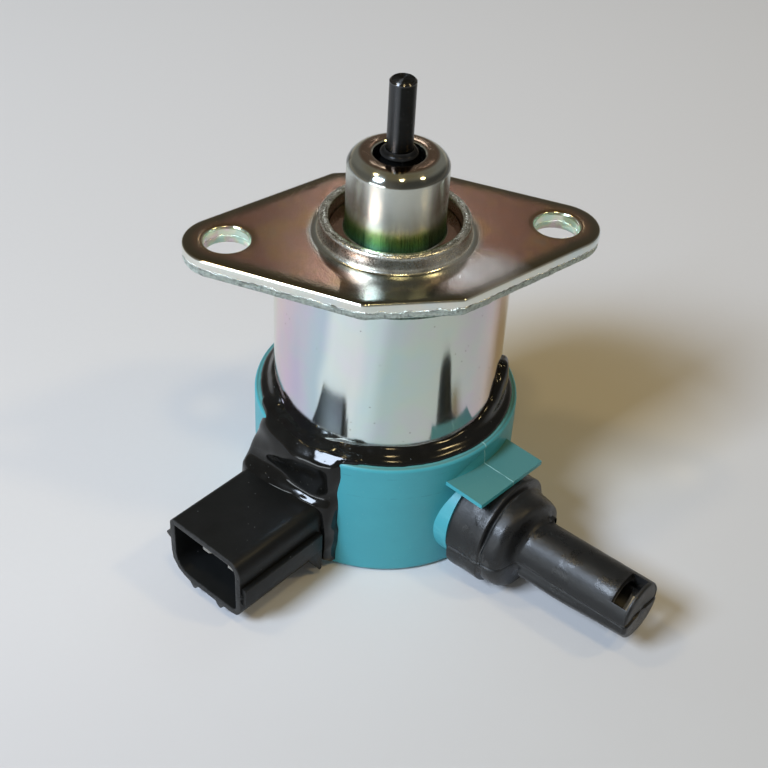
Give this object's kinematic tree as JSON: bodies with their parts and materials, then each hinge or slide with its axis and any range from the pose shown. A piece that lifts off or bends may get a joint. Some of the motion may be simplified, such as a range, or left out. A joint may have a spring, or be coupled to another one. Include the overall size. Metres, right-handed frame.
{
  "type": "fuel shutoff solenoid",
  "caption": "Flange-mounted fuel shutoff solenoid with a spring-extended push pin, sealed end cup, side connector and rubber vent boot.",
  "frame": {"origin": "where the push pin's axis crosses the flange's mounting face", "axes": "+Z along the push pin, out of the guide nose; +X through the two flange holes; -Y on the side of the connector and the vent boot"},
  "size_m": [0.0786, 0.0703, 0.0821],
  "materials": {
    "zinc_flange": "satin",
    "zinc_nose": "polished",
    "zinc_case": "satin",
    "bronze": "satin",
    "seal_rubber": "matte",
    "sleeve_brass": "satin",
    "black_pin": "satin",
    "core_steel": "satin",
    "spring_steel": "satin",
    "bobbin_plastic": "matte",
    "winding": "gloss",
    "wrap_film": "gloss",
    "carrier_plastic": "matte",
    "contact_metal": "satin",
    "teal_plastic": "satin",
    "sealant_black": "gloss",
    "connector_plastic": "matte",
    "blade_metal": "satin",
    "boot_rubber": "matte"
  },
  "bodies": {
    "housing": {"mounting_flange": "zinc_flange", "guide_nose": "zinc_nose", "guide_bush": "bronze", "pin_seal": "seal_rubber", "seal_retainer": "sleeve_brass", "return_spring": "spring_steel", "guide_sleeve": "sleeve_brass", "fixed_core": "core_steel", "front_pole_plate": "core_steel", "rear_pole_plate": "core_steel", "case_tube": "zinc_case", "bobbin": "bobbin_plastic", "pull_coil": "winding", "hold_coil": "winding", "coil_wrap": "wrap_film", "contact_carrier": "carrier_plastic", "fixed_contact_a": "contact_metal", "fixed_contact_b": "contact_metal", "contact_spring": "spring_steel", "end_cup": "teal_plastic", "sealant": "sealant_black", "connector_housing": "connector_plastic", "terminal_a": "blade_metal", "terminal_b": "blade_metal", "vent_boot": "boot_rubber"},
    "plunger_and_pin": {"push_pin": "black_pin", "plunger": "core_steel"},
    "switch_slide": {"contact_rod": "bobbin_plastic", "contact_bridge": "contact_metal"}
  },
  "joints": [
    {"name": "plunger_slide", "type": "slide", "parent": "housing", "child": "plunger_and_pin", "axis": [0, 0, -1], "range_m": [0, 0.0095], "stiffness_N_per_m": 1200, "springref_m": -0.01, "deforming": ["return_spring"]},
    {"name": "switch_slide", "type": "slide", "parent": "housing", "child": "switch_slide", "axis": [0, 0, -1], "range_m": [0, 0.001], "stiffness_N_per_m": 800, "springref_m": -0.002, "deforming": ["contact_spring"]}
  ]
}
